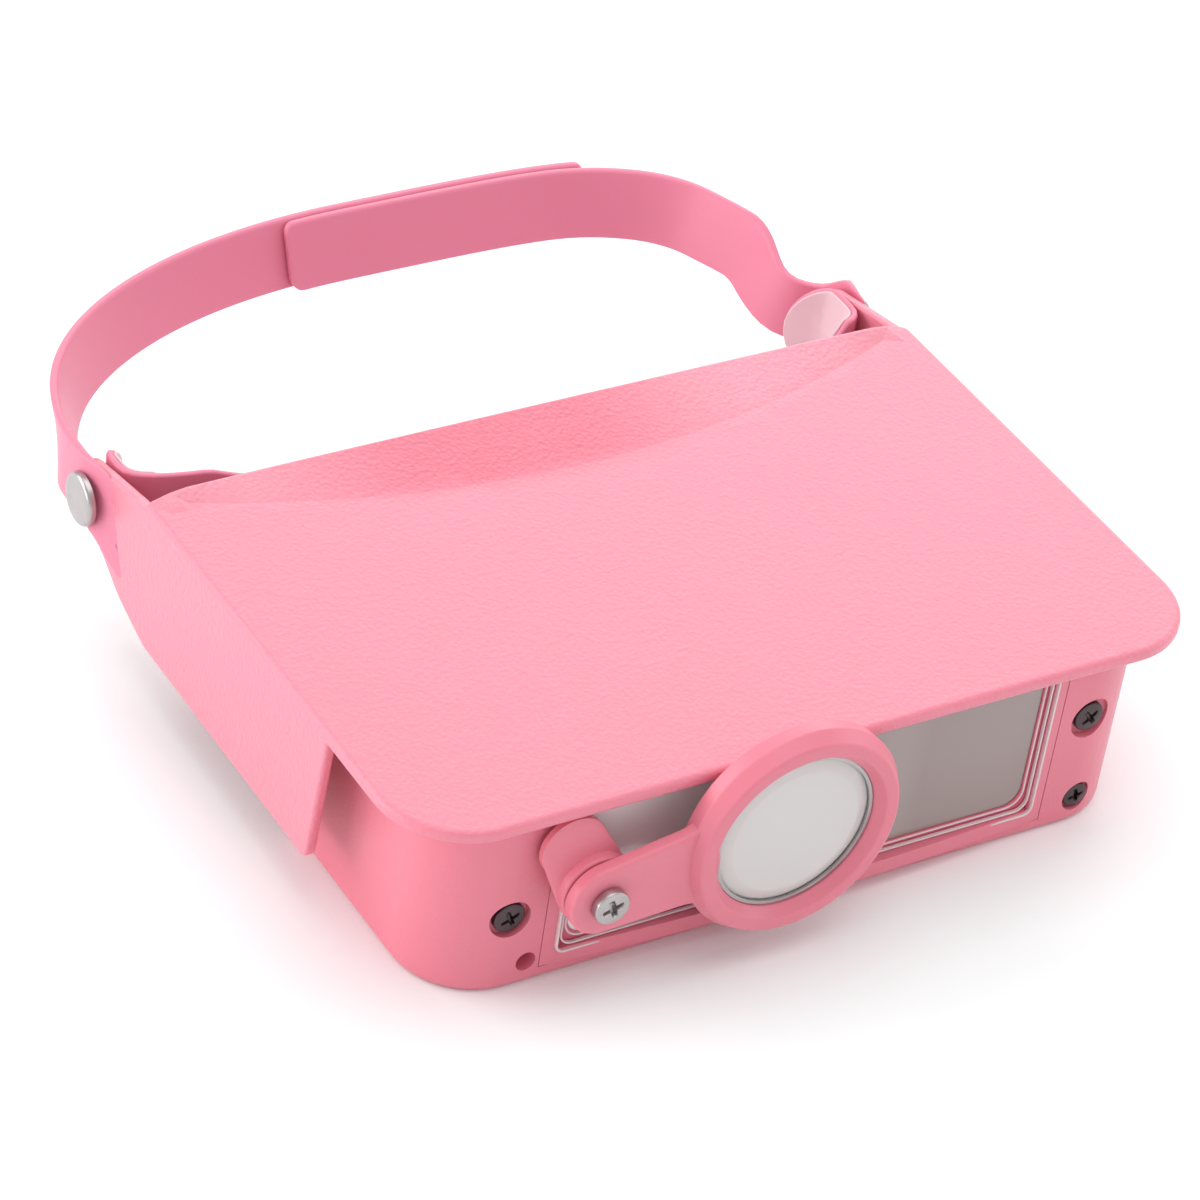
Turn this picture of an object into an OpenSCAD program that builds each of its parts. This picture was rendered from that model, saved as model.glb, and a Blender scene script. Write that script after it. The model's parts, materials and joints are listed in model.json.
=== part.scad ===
// Head visor magnifier: a hood with a framed front lens, an inner flip lens,
// a swing-away loupe and a riveted two-piece headband.
// The visor stands flat on the bottom of its lens housing.
// +X is the right of the visor as seen from the front, +Y runs to the back of the head, +Z is up.

/* [Hood] */
// Width of the top plate
plate_w = 200; // [180:1:220]
// Depth of the top plate, front lip to brow
plate_d = 126; // [115:1:140]
// Thickness of the top plate
plate_t = 3; // [2.5:0.1:4]
// Height of the top plate above the table
visor_h = 49.7; // [47:0.5:54]
// Radius of the two front corners of the plate
corner_r = 20; // [14:1:26]
// Thickness of the side walls
side_t = 2.6; // [2.2:0.1:3.2]
// Height of the side walls' bottom edge above the table
side_lift = 12.8; // [10:0.2:15]
// Rise of the brow edge above the plate
brow_rise = 2.4; // [1:0.2:4]
// Depth of the brow crescent at its middle
brow_depth = 22; // [14:1:28]

/* [Lens housing] */
// Width of the lens housing
housing_w = 180; // [176:1:188]
// Length of the lens housing's side walls
housing_d = 60; // [50:1:75]
// Width of the lens window
window_w = 129; // [120:1:136]
// Height of the sill under the window
sill_h = 3.6; // [3:0.2:5]
// How far the window frame bows forward
frame_bow = 2.6; // [1:0.2:3.2]
// Thickness of the front lens plate
lens_t = 2.4; // [2:0.1:3]

/* [Loupe] */
// Distance from the pivot to the middle of the loupe
arm_len = 45.5; // [42:1:52]
// Outer radius of the loupe ring
ring_r = 26.2; // [24:0.1:28]
// Radius of the loupe lens
loupe_r = 19.4; // [17:0.2:20]
// Height of the pivot above the table
pivot_z = 28.4; // [26:0.2:32]

/* [Headband] */
// Height of the headband's hinge above the table
hinge_z = 35.6; // [32:0.2:38]
// Height of the straps
strap_h = 16.3; // [14:0.1:20]
// How far the straps' lower edge leans inwards
strap_lean = 5.6; // [0:0.2:8]
// Thickness of the straps
strap_t = 2; // [1.6:0.1:2.8]
// Distance from the hinge to the back of the loop
loop_d = 75; // [68:1:90]
// Radius of the rivet caps
cap_r = 6.3; // [5.5:0.1:7]

/* [Hidden] */

$fn = 96;
eps = 0.01;
fine = 180;

// Colours
pink = [0.98, 0.62, 0.72];
deep_pink = [0.92, 0.52, 0.64];
pale_pink = [0.96, 0.84, 0.87];
foam_grey = [0.86, 0.84, 0.84];
clear = [0.80, 0.78, 0.80, 0.5];
steel = [0.78, 0.77, 0.76];
dark = [0.22, 0.17, 0.18];
nylon = [0.93, 0.93, 0.90];
brass = [0.80, 0.66, 0.36];

// Hood
under_z = visor_h - plate_t;
wall_x = plate_w / 2 - side_t;
hinge_y = plate_d + 22.5;
seam_y = 42;
seam_lean = 2;
wall_ear_r = 8.2;
brow_steps = 28;
bracket_w = 11;
bracket_d = 8;

// Lens housing
cheek_y = 4;
cheek_t = 6;
wall_t = 2.5;
housing_r = 18;
cheek_x = 73;
gap = 0.2;
screw_r = 1.5;
// Each cheek screw: x, z, head radius, counterbore radius
cheek_holes = [[-cheek_x, 19.6, 3.7, 4.7], [cheek_x, 29.9, 3.7, 5.2], [cheek_x + 1.2, 7.2, 3.1, 3.8]];
spare_hole = [-cheek_x + 5.2, 6.4];
spare_hole_r = 2.4;
bore_depth = 2;
head_h = 1.9;
screw_len = 12;

// Lens frame and front lens
frame_w = window_w - 2 * gap;
frame_z = sill_h + gap;
frame_top = under_z - gap;
frame_side = 3.8;
frame_floor = 3.9;
frame_back = 10;
bow_r = (frame_w * frame_w / 4 + frame_bow * frame_bow) / (2 * frame_bow);
frame_front = cheek_y - frame_bow;
opening_w = frame_w - 2 * frame_side;
opening_z = frame_z + frame_floor;
lens_lip = 1.4;
lens_y = 5;

// Loupe
pivot_x = -57.5;
post_r = 8.6;
post_front = -3.4;
post_base_x = -62;
post_base_z = 38;
post_base_r = 7.6;
washer_t = 0.5;
arm_t = 3.2;
arm_y = post_front - washer_t;
arm_front = arm_y - arm_t;
ring_back = -2.2;
ring_front = -9.7;
ring_bore = loupe_r + 0.05;
arm_rise = 6;
loupe_x = pivot_x + arm_len * cos(arm_rise);
loupe_z = pivot_z + arm_len * sin(arm_rise);
loupe_t = 4.6;
loupe_edge = 1.8;
loupe_y = -5.2;
seat_lip = 1.1;
loupe_head_r = 4.1;
loupe_head_h = 2.1;
running = 0.05;
insert_r = 2.6;
insert_len = 6;

// Flip lens
flip_y = 15;
flip_z = 40;
flip_w = 112;
flip_h = 31;
flip_t = 2;
pin_r = 1;
pin_len = 7;
flip_rail = 3.2;
flip_bracket_t = 3;
flip_bracket_x = flip_w / 2 + 1;

// Headband, in its own frame with the hinge at the origin
strap_x = plate_w / 2 + 0.5 + strap_t;
loop_x = 102;
straight = 10;
flare = 15;
strap_low = -6.5;
velcro_t = 0.25;
layer = strap_t + 2 * velcro_t;
left_n = 2.1;
right_n = 4.1;
outer_end = 67;
inner_end = 17;
loop_n = 26;
right_k = 44;
right_pinch = 7.5;
right_flat = 4.1;
right_dip = 6.5;
skin = 0.02;
side_sink = 1;
shank_r = 2.5;
cap_t = 2;
ear_front = -14.6;
ear_drop = -11.8;
band_x = wall_x - 0.4;
band_t = 1.6;
foam_t = 3.4;
lining_t = 0.7;
band_low = -17.5;
band_top = 9.6;
band_mid = 6.5;
band_end = 10.5;
band_curl = 7.5;
pad_mid = 2.5;
brow_n = 3;
brow_right_n = 5;
brow_b = 13.5;
brow_start = -2;
brow_k = 30;
back_r = 3.6;
back_t = 0.8;
washer_r = 6;

// The row's origin is the middle of the whole object's footprint
loop_back = hinge_y + loop_d;
mid_y = (loop_back + ring_front) / 2;

// Moves a piece from the front lip's frame to the middle of the footprint
module placed() {
  translate([0, -mid_y, 0]) children();
}

// Moves a piece from the hinge's frame into the visor's frame
module in_band() {
  placed() translate([0, hinge_y, hinge_z]) children();
}

// Cylinder along +Y from y0 to y1
module along_y(x, z, r, y0, y1) {
  translate([x, y0, z]) rotate([-90, 0, 0]) cylinder(r = r, h = y1 - y0);
}

// Cylinder along +X from x0 to x1
module along_x(y, z, r, x0, x1) {
  translate([x0, y, z]) rotate([0, 90, 0]) cylinder(r = r, h = x1 - x0);
}

// Box from one corner to the opposite one
module block(low, high) {
  translate(low) cube(high - low);
}

// Extrudes a Y-Z outline along X from x0 to x1
module slab_x(x0, x1) {
  translate([x0, 0, 0]) rotate([90, 0, 90]) linear_extrude(x1 - x0) children();
}

// Flat screw recess with a cross, cut from a head whose top faces -Y
module cross_recess(x, z, y, r) {
  for (turn = [0, 90])
    translate([x, y, z]) rotate([0, turn + 20, 0])
      translate([-r * 0.62, -eps, -r * 0.13]) cube([r * 1.24, 1.1, r * 0.26]);
}

// Quarter of a superellipse, from its side (t = 0) to its back (t = 90)
function arc_pt(a, b, n, t) = [a * pow(cos(t), 2 / n), b * pow(sin(t), 2 / n)];

// ---------------------------------------------------------------- hood

module plate_outline() {
  half = plate_w / 2;
  translate([-half, corner_r]) square([plate_w, plate_d - corner_r]);
  translate([corner_r - half, 0]) square([plate_w - 2 * corner_r, corner_r + eps]);
  for (s = [-1, 1]) translate([s * (half - corner_r), corner_r]) circle(r = corner_r, $fn = fine);
}

// Raised crescent behind the brow arc, ruled from the arc up to the straight rear edge
module brow() {
  half = plate_w / 2;
  n = brow_steps;
  radius = (half * half + brow_depth * brow_depth) / (2 * brow_depth);
  xs = [for (i = [0:n]) -half + plate_w * i / n];
  arc = [for (x = xs) plate_d - brow_depth + radius - sqrt(radius * radius - x * x)];
  low_z = visor_h - 1;
  points = concat(
    [for (i = [0:n]) [xs[i], min(arc[i], plate_d - 2), visor_h]],
    [for (i = [0:n]) [xs[i], plate_d, visor_h + brow_rise]],
    [for (i = [0:n]) [xs[i], plate_d, low_z]],
    [for (i = [0:n]) [xs[i], min(arc[i], plate_d - 2), low_z]]);
  m = n + 1;
  rows = [for (k = [0:3]) for (i = [0:n - 1])
    let (a = k * m + i, b = ((k + 1) % 4) * m + i) [a, b, b + 1, a + 1]];
  left_end = [3 * m, 2 * m, m, 0];
  right_end = [n, m + n, 2 * m + n, 3 * m + n];
  faces = concat([for (f = rows) for (g = [[f[0], f[1], f[2]], [f[0], f[2], f[3]]]) g],
                 [left_end, right_end]);
  polyhedron(points, faces);
}

// Side wall outline in Y-Z, running back into the ear that carries the rivet
module side_outline() {
  polygon([[seam_y - seam_lean, under_z + 1],
           [seam_y + seam_lean - 0.5, side_lift + 2],
           [seam_y + seam_lean + 1.5, side_lift],
           [plate_d - 6, side_lift],
           [plate_d + 2, side_lift + 1.6],
           [plate_d + 8.5, side_lift + 4.6],
           [hinge_y + wall_ear_r * sin(40), hinge_z - wall_ear_r * cos(40)],
           [hinge_y + wall_ear_r * sin(15), hinge_z + wall_ear_r * cos(15)],
           [plate_d, visor_h - 1],
           [plate_d, under_z + 1]]);
  translate([hinge_y, hinge_z]) circle(r = wall_ear_r);
}

// Two posts under the plate that the cheek screws bite into
module hood_bracket(s) {
  y0 = cheek_y + cheek_t;
  block([s * cheek_x - bracket_w / 2, y0, 2], [s * cheek_x + bracket_w / 2, y0 + bracket_d, under_z + 1]);
}

module hood_shell() {
  color(pink) placed() difference() {
    union() {
      translate([0, 0, under_z]) linear_extrude(plate_t) plate_outline();
      brow();
      for (s = [-1, 1]) {
        slab_x(s > 0 ? wall_x : -wall_x - side_t, s > 0 ? wall_x + side_t : -wall_x) side_outline();
        hood_bracket(s);
      }
    }
    along_x(hinge_y, hinge_z, shank_r + running, -plate_w, plate_w);
    for (h = cheek_holes) along_y(h[0], h[1], screw_r, 0, cheek_y + screw_len);
  }
}

// ---------------------------------------------------------------- lens housing

module housing_outline(inset) {
  half = housing_w / 2 - inset;
  r = housing_r - inset;
  front = cheek_y + inset;
  translate([-half, front + r]) square([2 * half, housing_d - r]);
  translate([r - half, front]) square([2 * half - 2 * r, r + eps]);
  for (s = [-1, 1]) translate([s * (half - r), front + r]) circle(r = r, $fn = fine);
}

// U-shaped box round the lens: two thick cheeks, a sill and two side walls
module lens_housing() {
  half_win = window_w / 2;
  color(pink) placed() difference() {
    linear_extrude(under_z) housing_outline(0);
    difference() {
      translate([0, 0, -1]) linear_extrude(under_z + 2) housing_outline(wall_t);
      for (s = [-1, 1])
        block([min(s * half_win, s * (half_win + 17)), 0, -2],
              [max(s * half_win, s * (half_win + 17)), cheek_y + cheek_t - gap, under_z + 2]);
      block([-half_win - 1, 0, -2], [half_win + 1, frame_back, sill_h]);
    }
    block([-housing_w, cheek_y + housing_d, -1], [housing_w, plate_d, visor_h]);
    block([-half_win, -1, sill_h], [half_win, frame_back + 1, visor_h]);
    for (h = cheek_holes) {
      along_y(h[0], h[1], screw_r + 0.1, 0, cheek_y + cheek_t + 1);
      along_y(h[0], h[1], h[3], 0, cheek_y + bore_depth);
    }
    along_y(spare_hole[0], spare_hole[1], spare_hole_r, 0, cheek_y + cheek_t + 1);
  }
}

// Frame that drops into the window: two side bars and a bowed ledge
module lens_frame() {
  color(pink) placed() difference() {
    union() {
      intersection() {
        block([-frame_w / 2, 0, frame_z], [frame_w / 2, frame_back - gap, frame_top]);
        translate([0, frame_front + bow_r, 0]) cylinder(r = bow_r, h = visor_h, $fn = 720);
      }
      intersection() {
        along_y(post_base_x, post_base_z, post_base_r, post_front + 6, lens_y);
        block([-frame_w / 2, 0, frame_z], [0, lens_y, frame_top]);
      }
    }
    block([-opening_w / 2, -1, opening_z], [opening_w / 2, frame_back + 1, visor_h]);
    block([-opening_w / 2 - lens_lip, lens_y, opening_z - lens_lip],
          [opening_w / 2 + lens_lip, frame_back + 1, visor_h]);
    along_y(post_base_x, post_base_z, screw_r + 0.1, -1, frame_back + 1);
  }
}

module front_lens() {
  half = opening_w / 2 + lens_lip - gap;
  color(clear) placed()
    block([-half, lens_y, opening_z - lens_lip + gap], [half, lens_y + lens_t, frame_top - gap]);
}

// Clip frame behind the lens
module lens_retainer() {
  half = opening_w / 2 + lens_lip - gap;
  low = opening_z - lens_lip + gap;
  color(deep_pink) placed() difference() {
    block([-half, lens_y + lens_t, low], [half, frame_back - gap, frame_top - gap]);
    block([-half + 3, 0, low + 3], [half - 3, frame_back + 1, frame_top - 3]);
  }
}

// Dark self-tapping screws through the cheeks into the hood's brackets
module cheek_screws() {
  color(dark) placed() for (h = cheek_holes) difference() {
    union() {
      along_y(h[0], h[1], screw_r, cheek_y + bore_depth, cheek_y + screw_len - 0.5);
      along_y(h[0], h[1], h[2], cheek_y + bore_depth - head_h, cheek_y + bore_depth);
    }
    cross_recess(h[0], h[1], cheek_y + bore_depth - head_h, h[2]);
  }
}

// ---------------------------------------------------------------- loupe

// Slanted post from the window frame to the loupe's pivot
module loupe_post() {
  color(pink) placed() difference() {
    hull() {
      along_y(pivot_x, pivot_z, post_r, post_front, post_front + 2.5, $fn = 32);
      along_y(post_base_x, post_base_z, post_base_r, post_front + 4.6, post_front + 6, $fn = 32);
    }
    along_y(pivot_x, pivot_z, screw_r + running, post_front - 1, lens_y);
    along_y(pivot_x, pivot_z, insert_r, post_front + 2.4, lens_y);
  }
}

// Threaded brass insert that the pivot screw bites into
module loupe_insert() {
  color(brass) placed() difference() {
    along_y(pivot_x, pivot_z, insert_r, post_front + 2.4, post_front + 5.2);
    along_y(pivot_x, pivot_z, screw_r, -9, lens_y);
  }
}

module loupe_screw() {
  head_y = arm_front - washer_t;
  color(steel) placed() difference() {
    union() {
      along_y(pivot_x, pivot_z, screw_r, head_y, post_front + 5.2);
      along_y(pivot_x, pivot_z, loupe_head_r, head_y - 1.4, head_y);
      translate([pivot_x, head_y - 1.4, pivot_z]) rotate([90, 0, 0])
        intersection() {
          cylinder(r = loupe_head_r, h = 0.7);
          translate([0, 0, -12.1]) sphere(r = 12.8, $fn = 96);
        }
    }
    cross_recess(pivot_x, pivot_z, head_y - 2.1, loupe_head_r);
  }
}

module washer(y0, y1, r) {
  difference() {
    along_y(pivot_x, pivot_z, r, y0, y1);
    along_y(pivot_x, pivot_z, screw_r + 0.2, y0 - 1, y1 + 1);
  }
}

module loupe_washer() {
  color(steel) placed() washer(arm_front - washer_t, arm_front, 3.6);
}

module loupe_friction_washer() {
  color(nylon) placed() washer(arm_y, post_front, 6.5);
}

// Arm and ring, moulded in one piece
module loupe_frame() {
  depth = ring_back - ring_front;
  color(pink) placed() difference() {
    union() {
      along_y(pivot_x, pivot_z, post_r, arm_front, arm_y);
      translate([pivot_x, arm_y, pivot_z]) rotate([90, -arm_rise, 0]) linear_extrude(arm_t)
        polygon([[0, -post_r], [arm_len - 22, -10.4], [arm_len - 14, -17],
                 [arm_len - 14, 17], [arm_len - 22, 10.4], [0, post_r]]);
      translate([loupe_x, ring_back, loupe_z]) rotate([90, 0, 0]) rotate_extrude($fn = fine)
        polygon([[ring_bore - seat_lip, 0], [ring_r - 0.6, 0], [ring_r, 0.6], [ring_r, 3.8],
                 [ring_r - 2.2, depth - 0.4], [ring_r - 2.8, depth], [ring_bore + 2.2, depth],
                 [ring_bore + 1.6, depth - 0.6], [ring_bore, 5.4], [ring_bore, 0.8], [ring_bore - seat_lip, 0.8]]);
    }
    along_y(pivot_x, pivot_z, screw_r + running, arm_front - 1, arm_y + 1);
    along_y(loupe_x, loupe_z, ring_bore, ring_front - 1, ring_back - 0.8);
  }
}

// Biconvex glass with a flat rim
module loupe_lens() {
  bulge = (loupe_t - loupe_edge) / 2;
  ball = (loupe_r * loupe_r + bulge * bulge) / (2 * bulge);
  steps = 12;
  rs = [for (i = [0:steps]) loupe_r * i / steps];
  front = [for (r = rs) [r, loupe_t / 2 - ball + sqrt(ball * ball - r * r)]];
  back = [for (i = [steps:-1:0]) [rs[i], -front[i][1]]];
  color(clear) placed() translate([loupe_x, loupe_y, loupe_z]) rotate([90, 0, 0])
    rotate_extrude($fn = fine) polygon(concat(front, back));
}

// Spring ring that keeps the glass against its seat
module loupe_retaining_ring() {
  front = loupe_y - loupe_edge / 2 - 0.15;
  color(steel) placed() difference() {
    along_y(loupe_x, loupe_z, loupe_r, front - 0.8, front);
    along_y(loupe_x, loupe_z, loupe_r - 0.9, ring_front, ring_back);
  }
}

// ---------------------------------------------------------------- inner flip lens

module flip_brackets() {
  color(deep_pink) placed() for (s = [-1, 1]) {
    x0 = s > 0 ? flip_bracket_x : -flip_bracket_x - flip_bracket_t;
    difference() {
      union() {
        block([x0, flip_y - 3.5, flip_z], [x0 + flip_bracket_t, flip_y + 3.5, under_z]);
        along_x(flip_y, flip_z, 3.5, x0, x0 + flip_bracket_t);
        block([min(x0, x0 - (s < 0 ? 5 : 0)), flip_y - 3.5, under_z - 2],
              [x0 + flip_bracket_t + (s > 0 ? 5 : 0), flip_y + 3.5, under_z]);
      }
      along_x(flip_y, flip_z, pin_r + running, x0 - 1, x0 + flip_bracket_t + 1);
    }
  }
}

// Small pan heads that hold the brackets under the plate
module bracket_screws() {
  color(steel) placed() for (s = [-1, 1])
    translate([s * (flip_bracket_x + flip_bracket_t + 2.5), flip_y, under_z - 3.2])
      cylinder(r = 1.9, h = 1.2);
}

// Carrier of the flip lens: three rails and a finger tab
module flip_frame() {
  half = flip_w / 2;
  low = flip_z - flip_h;
  color(deep_pink) placed() difference() {
    union() {
      block([-half, flip_y - flip_t, low], [half, flip_y + flip_t, flip_z]);
      along_x(flip_y, flip_z, flip_t, -half, half);
      block([-9, flip_y - 1, low - 4.5], [9, flip_y + 1, low + eps]);
    }
    block([-half + flip_rail, flip_y - 3, low + flip_rail], [half - flip_rail, flip_y + 3, flip_z - flip_rail]);
    block([-half + flip_rail - 1, flip_y - 1, low + flip_rail - 1],
          [half - flip_rail + 1, flip_y + 1, flip_z - flip_rail + 1]);
    for (s = [-1, 1]) along_x(flip_y, flip_z, pin_r, s > 0 ? half - 3 : -half - 1, s > 0 ? half + 1 : 3 - half);
  }
}

module flip_lens() {
  half = flip_w / 2 - flip_rail + 1;
  color(clear) placed()
    block([-half, flip_y - 1, flip_z - flip_h + flip_rail - 1], [half, flip_y + 1, flip_z - flip_rail + 1]);
}

module flip_pins() {
  half = flip_w / 2;
  color(steel) placed() for (s = [-1, 1])
    along_x(flip_y, flip_z, pin_r, s > 0 ? half - 3 : -half - pin_len + 3, s > 0 ? half + pin_len - 3 : 3 - half);
}

// ---------------------------------------------------------------- headband

function smooth(x) = let (c = min(max(x, 0), 1)) c * c * (3 - 2 * c);

// Stations round the loop, from the left ear over the back to the right ear
function side_angle(k) = 90 * smooth((k <= loop_n ? k : 2 * loop_n - k) / loop_n);
function left_pt(k) =
  let (p = arc_pt(loop_x, loop_d - straight, left_n, side_angle(k)),
       out = (strap_x - loop_x) * (1 - smooth(p[1] / flare)))
  [-p[0] - out, straight + p[1]];

// Point of a superellipse in the direction of a polar angle
function polar_pt(a, b, n, t) =
  let (r = pow(pow(cos(t) / a, n) + pow(sin(t) / b, n), -1 / n)) [r * cos(t), r * sin(t)];

// The right half is narrower and comes in sharply behind its ear; k counts from the ear to the back
function right_pt(k) =
  let (p = polar_pt(loop_x, loop_d - straight, right_n, 90 * pow(k / right_k, 1.25)),
       out = (strap_x - loop_x) * (1 - smooth(p[1] / flare)),
       pinch = right_pinch * smooth(p[1] / 8) - (right_pinch - right_flat) * smooth((p[1] - 8) / 11))
  [p[0] + out - pinch * smooth((p[0] - 55) / 40), straight + p[1]];

loop_pts = concat([[-strap_x, straight - 4]], [for (k = [0:loop_n]) left_pt(k)],
                  [for (k = [right_k - 1:-1:0]) right_pt(k)], [[strap_x, straight - 2], [strap_x, straight - 4]]);
last = len(loop_pts) - 1;
function inward(k) =
  k <= 1 ? [1, 0] : k >= last - 1 ? [-1, 0] :
  let (d = loop_pts[k + 1] - loop_pts[k - 1]) [d[1], -d[0]] / norm(d);
loop_in = [for (k = [0:last]) inward(k)];
function loop_way(k) = smooth((loop_pts[k][1] - straight - 2) / (flare + 3));

// The right half also sags where it comes in
function dip(v) = right_dip * smooth((v - 2) / 12) * (1 - smooth((v - 15) / 16));

// Point of the loop: station k, depth d behind the outer face, height h above the lower edge
function loop_at(k, d, h) =
  let (p = loop_pts[k] + loop_in[k] * (d + strap_lean * loop_way(k) * (1 - h / strap_h)))
  [p[0], p[1], strap_low + h - (loop_pts[k][0] > 0 ? dip(loop_pts[k][1]) : 0)];

// Ribbon through the stations of a list; the inner strap lies one layer deeper away from its ear
module ribbon_loop(ks, d0, d1, h0, h1, inner) {
  n = len(ks);
  sink = [for (k = ks) inner ? (layer + side_sink * smooth((loop_pts[k][0] - 55) / 25))
                               * (loop_pts[k][0] > 0 ? loop_way(k) : 1) : 0];
  points = concat(
    [for (i = [0:n - 1]) loop_at(ks[i], d0 + sink[i], h1)],
    [for (i = [0:n - 1]) loop_at(ks[i], d0 + sink[i], h0)],
    [for (i = [0:n - 1]) loop_at(ks[i], d1 + sink[i], h0)],
    [for (i = [0:n - 1]) loop_at(ks[i], d1 + sink[i], h1)]);
  sides = [for (r = [0:3]) for (i = [0:n - 2])
    let (a = r * n + i, b = ((r + 1) % 4) * n + i) each [[a, b, b + 1], [a, b + 1, a + 1]]];
  caps = [[0, 3 * n, 2 * n], [0, 2 * n, n],
          [n - 1, 2 * n - 1, 3 * n - 1], [n - 1, 3 * n - 1, 4 * n - 1]];
  polyhedron(points, concat(sides, caps));
}

// Ear of a strap, outside the hood's side wall
module strap_ear(s) {
  x0 = s > 0 ? strap_x - strap_t : -strap_x;
  top = strap_low + strap_h;
  slab_x(x0, x0 + strap_t) difference() {
    polygon(concat([[-6.2, top - 1.4], [-5.2, top]],
                   [for (v = [2:2:straight - 4]) [v, top - (s > 0 ? dip(v) : 0)]],
                   [for (h = [top, strap_low]) [straight - 4, h - (s > 0 ? dip(straight - 4) : 0)]],
                   [[4, strap_low - 0.4 - (s > 0 ? dip(4) : 0)],
                    [-3, strap_low - 0.4], [ear_front + 1.6, ear_drop - 0.6], [ear_front, ear_drop + 0.6]]));
    circle(r = shank_r + 0.03);
  }
}

// Outer strap, riveted at the left and ending behind the right ear
module left_strap() {
  ks = [for (k = [0:last]) if (loop_pts[k][0] < outer_end) k];
  color(pink) in_band() union() {
    strap_ear(-1);
    ribbon_loop(ks, 0, strap_t, 0, strap_h, false);
  }
}

// Inner strap, riveted at the right
module right_strap() {
  ks = [for (k = [0:last]) if (loop_pts[k][0] > -inner_end) k];
  color(pink) in_band() union() {
    strap_ear(1);
    ribbon_loop(ks, 0, strap_t, 0, strap_h, true);
  }
}

// Thin strip at the back of the loop between two depths
module fastening(d0, d1) {
  ks = [for (k = [0:last]) if (loop_pts[k][0] > 8 - inner_end && loop_pts[k][0] < outer_end - 8) k];
  ribbon_loop(ks, d0 + skin, d1 - skin, 1.5, strap_h - 1.5, false);
}

module loop_pad() {
  color(deep_pink) in_band() fastening(strap_t, strap_t + velcro_t);
}

module hook_pad() {
  color(deep_pink) in_band() fastening(strap_t + velcro_t, strap_t + 2 * velcro_t);
}

function flipped(list) = [for (i = [len(list) - 1:-1:0]) list[i]];

module ribbon(outer, inner, low, high) {
  translate([0, 0, low]) linear_extrude(high - low) polygon(concat(outer, flipped(inner)));
}

// Stations along the forehead band, from its left end to its right end
function brow_side(k, n) =
  let (p = polar_pt(1, 1, n, 90 * k / brow_k)) [band_x * p[0], brow_start - brow_b * p[1]];
function brow_curl(v) = band_x - band_curl * smooth((v - 1) / 12);
curl_v = [for (v = [band_end + 1:-1.5:1]) v];
brow_pts = concat([for (v = curl_v) [-brow_curl(v), v]], [[-band_x, brow_start + 1.5]],
                  [for (k = [0:brow_k]) [-brow_side(k, brow_n)[0], brow_side(k, brow_n)[1]]],
                  [for (k = [brow_k - 1:-1:0]) brow_side(k, brow_right_n)],
                  [[band_x, brow_start + 1.5]], [for (i = [len(curl_v) - 1:-1:0]) [brow_curl(curl_v[i]), curl_v[i]]]);
brow_last = len(brow_pts) - 1;
function brow_in(k) =
  let (d = brow_pts[min(k + 1, brow_last)] - brow_pts[max(k - 1, 0)]) [-d[1], d[0]] / norm(d);
brow_normals = [for (k = [0:brow_last]) brow_in(k)];

// The foam thins out to nothing towards the ends
function foam_at(k) = brow_pts[k][1] > brow_start ? 0 : foam_t * smooth((band_x - 5 - abs(brow_pts[k][0])) / 22);

// Side outline of the band's rounded ends
module band_side(grow) {
  top = band_top + grow;
  low = band_low - grow;
  end = band_end + grow;
  slab_x(-plate_w, plate_w) {
    intersection() {
      translate([-60, low]) square([60 + end, top - low]);
      union() {
        translate([-60, low]) square([60 + end - 13, top - low]);
        translate([end - 13.55, (top + low) / 2]) circle(r = 13.55 + grow);
      }
    }
  }
}

// Front outline: high at both ends, lower in the middle
module band_front(mid, grow) {
  top = band_top + grow + 1;
  xs = [for (i = [-20:20]) i * 5];
  translate([0, 40, 0]) rotate([90, 0, 0]) linear_extrude(80)
    polygon(concat([for (x = xs) [x, mid + (top - mid) * smooth((abs(x) - 62) / 22)]],
                   [[100, -40], [-100, -40]]));
}

module ribbon_between(depth0, depth1, ks, mid, grow) {
  outer = [for (k = ks) brow_pts[k] + brow_normals[k] * depth0[k]];
  inner = [for (k = ks) brow_pts[k] + brow_normals[k] * depth1[k]];
  intersection() {
    ribbon(outer, inner, band_low - grow - 1, band_top + grow + 1);
    band_side(grow);
    band_front(mid, grow);
  }
}

all_brow = [for (k = [0:brow_last]) k];
foam_brow = [for (k = all_brow) if (foam_at(k) > 0.02) k];

module forehead_band() {
  color(pink) in_band() difference() {
    ribbon_between([for (k = all_brow) 0], [for (k = all_brow) band_t], all_brow, band_mid, 0);
    along_x(0, 0, shank_r + 0.03, -plate_w, plate_w);
    along_x(0, 0, back_r, -band_x + band_t - back_t, band_x - band_t + back_t);
  }
}

module forehead_foam() {
  color(foam_grey) in_band()
    ribbon_between([for (k = all_brow) band_t], [for (k = all_brow) band_t + foam_at(k)], foam_brow, pad_mid, -0.8);
}

module forehead_lining() {
  color(pale_pink) in_band()
    ribbon_between([for (k = all_brow) band_t + foam_at(k)], [for (k = all_brow) band_t + foam_at(k) + lining_t],
                   all_brow, pad_mid, -0.2);
}

// Domed rivet with its shank, for the side s
module rivet(s) {
  in_band() mirror([s < 0 ? 1 : 0, 0, 0]) {
    along_x(0, 0, shank_r, band_x - band_t + back_t, strap_x);
    along_x(0, 0, cap_r, strap_x, strap_x + cap_t - 0.6);
    along_x(0, 0, cap_r - 0.6, strap_x + cap_t - 0.6, strap_x + cap_t);
  }
}

module left_rivet() {
  color(steel) rivet(-1);
}

module right_rivet() {
  color(steel) rivet(1);
}

module rivet_backs() {
  color(steel) in_band() for (s = [-1, 1]) mirror([s < 0 ? 1 : 0, 0, 0])
    along_x(0, 0, back_r, band_x - band_t + 0.2, band_x - band_t + back_t);
}

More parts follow.
